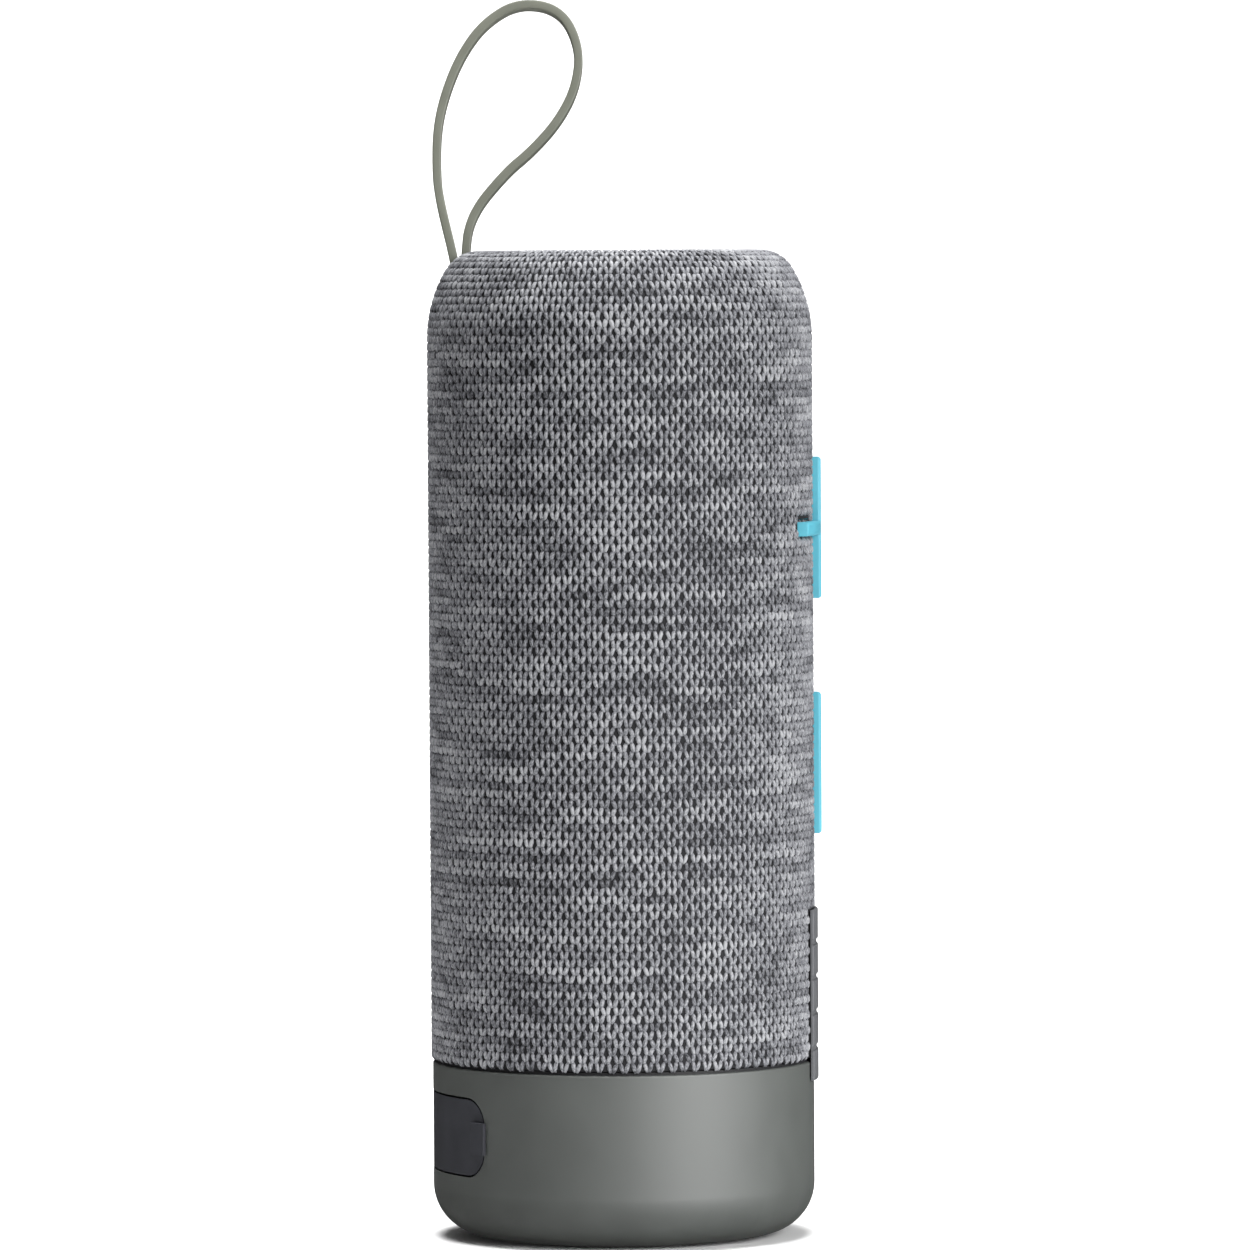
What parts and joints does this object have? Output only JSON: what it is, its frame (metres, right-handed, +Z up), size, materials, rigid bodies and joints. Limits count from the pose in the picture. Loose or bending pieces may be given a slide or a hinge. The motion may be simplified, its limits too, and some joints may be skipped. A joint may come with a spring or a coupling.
{
  "type": "portable bluetooth speaker",
  "caption": "Upright cylindrical bluetooth speaker with a knitted sleeve, soft-touch base, wrap-round volume keys, rear port cover and a moulded carrying strap.",
  "frame": {"origin": "on the cylinder's axis in the plane that the foot pad stands on", "axes": "+Z up along the cylinder; the volume buttons and the badge face -Y, the port cover and the strap are on the +Y side, the drivers fire along -X and +X"},
  "size_m": [0.068, 0.0694, 0.2184],
  "materials": {
    "foot_rubber": "matt moulded",
    "base_soft_touch": "soft-touch paint",
    "screw_steel": "zinc plated",
    "bezel_plastic": "fine texture",
    "port_rubber": "satin moulded",
    "socket_steel": "plated",
    "jack_plastic": "moulded",
    "circuit_board": "solder mask",
    "chip_resin": "moulded resin",
    "capacitor_can": "drawn",
    "chassis_plastic": "moulded",
    "grille_plastic": "moulded",
    "sleeve_knit": "heather knit",
    "badge_plastic": "satin",
    "key_rubber": "satin moulded",
    "switch_plastic": "moulded",
    "gasket_foam": "closed-cell foam",
    "battery_can": "shrink sleeve over a drawn can",
    "top_key_rubber": "satin moulded",
    "light_plastic": "frosted",
    "strap_silicone": "satin moulded",
    "anchor_plastic": "moulded",
    "frame_plastic": "moulded",
    "magnet_ferrite": "ground",
    "yoke_steel": "plated",
    "cone_paper": "pressed paper",
    "surround_rubber": "moulded",
    "spider_cloth": "resin-stiffened",
    "plate_plastic": "moulded"
  },
  "bodies": {
    "housing": {"amplifier_chip": "chip_resin", "aux_jack": "jack_plastic", "badge": "badge_plastic", "base_cap": "base_soft_touch", "base_screws": "screw_steel", "battery": "battery_can", "battery_board": "circuit_board", "battery_cradle": "chassis_plastic", "bluetooth_module": "socket_steel", "button_board": "circuit_board", "button_switches": "switch_plastic", "cap_screws": "screw_steel", "chassis": "chassis_plastic", "chassis_lid": "chassis_plastic", "driver_frame_left": "frame_plastic", "driver_frame_right": "frame_plastic", "driver_magnet_left": "magnet_ferrite", "driver_magnet_right": "magnet_ferrite", "driver_spider_left": "spider_cloth", "driver_spider_right": "spider_cloth", "driver_yoke_left": "yoke_steel", "driver_yoke_right": "yoke_steel", "fabric_sleeve": "sleeve_knit", "flap_pin": "screw_steel", "foot_pad": "foot_rubber", "grille_tube": "grille_plastic", "lid_screws": "screw_steel", "light_guide": "light_plastic", "main_board": "circuit_board", "mount_gaskets": "gasket_foam", "mount_screws": "screw_steel", "port_bezel": "bezel_plastic", "power_inductors": "chip_resin", "radiator_frame_left": "frame_plastic", "radiator_frame_right": "frame_plastic", "status_led": "light_plastic", "strap": "strap_silicone", "strap_anchor": "anchor_plastic", "strap_pin": "screw_steel", "supply_capacitors": "capacitor_can", "top_board": "circuit_board", "top_cap": "chassis_plastic", "top_switches": "switch_plastic", "top_trim": "base_soft_touch", "usb_socket": "socket_steel"},
    "plus_button": {"plus_button": "key_rubber"},
    "minus_button": {"minus_button": "key_rubber"},
    "power_button": {"power_button": "top_key_rubber"},
    "pair_button": {"pair_button": "top_key_rubber"},
    "port_cover": {"port_cover": "port_rubber"},
    "driver_left": {"driver_cone_left": "cone_paper", "driver_surround_left": "surround_rubber"},
    "driver_right": {"driver_cone_right": "cone_paper", "driver_surround_right": "surround_rubber"},
    "radiator_left": {"radiator_plate_left": "plate_plastic", "radiator_surround_left": "surround_rubber"},
    "radiator_right": {"radiator_plate_right": "plate_plastic", "radiator_surround_right": "surround_rubber"}
  },
  "joints": [
    {"name": "plus_press", "type": "slide", "parent": "housing", "child": "plus_button", "axis": [0, 1, 0], "range_m": [0, 0.00035], "stiffness_N_per_m": 3000},
    {"name": "minus_press", "type": "slide", "parent": "housing", "child": "minus_button", "axis": [0, 1, 0], "range_m": [0, 0.00035], "stiffness_N_per_m": 3000},
    {"name": "power_press", "type": "slide", "parent": "housing", "child": "power_button", "axis": [0, 0, -1], "range_m": [0, 0.00035], "stiffness_N_per_m": 3000},
    {"name": "pair_press", "type": "slide", "parent": "housing", "child": "pair_button", "axis": [0, 0, -1], "range_m": [0, 0.00035], "stiffness_N_per_m": 3000},
    {"name": "port_cover_hinge", "type": "hinge", "parent": "housing", "child": "port_cover", "pos_m": [0.02303, 0.02335, 0.019], "axis": [0, 0, -1], "range_deg": [0, 105]},
    {"name": "driver_left_travel", "type": "slide", "parent": "housing", "child": "driver_left", "axis": [-1, 0, 0], "range_m": [-0.0018, 0.0018], "stiffness_N_per_m": 1200},
    {"name": "radiator_left_travel", "type": "slide", "parent": "housing", "child": "radiator_left", "axis": [-1, 0, 0], "range_m": [-0.0025, 0.0025], "stiffness_N_per_m": 600},
    {"name": "driver_right_travel", "type": "slide", "parent": "housing", "child": "driver_right", "axis": [1, 0, 0], "range_m": [-0.0018, 0.0018], "stiffness_N_per_m": 1200},
    {"name": "radiator_right_travel", "type": "slide", "parent": "housing", "child": "radiator_right", "axis": [1, 0, 0], "range_m": [-0.0025, 0.0025], "stiffness_N_per_m": 600}
  ]
}
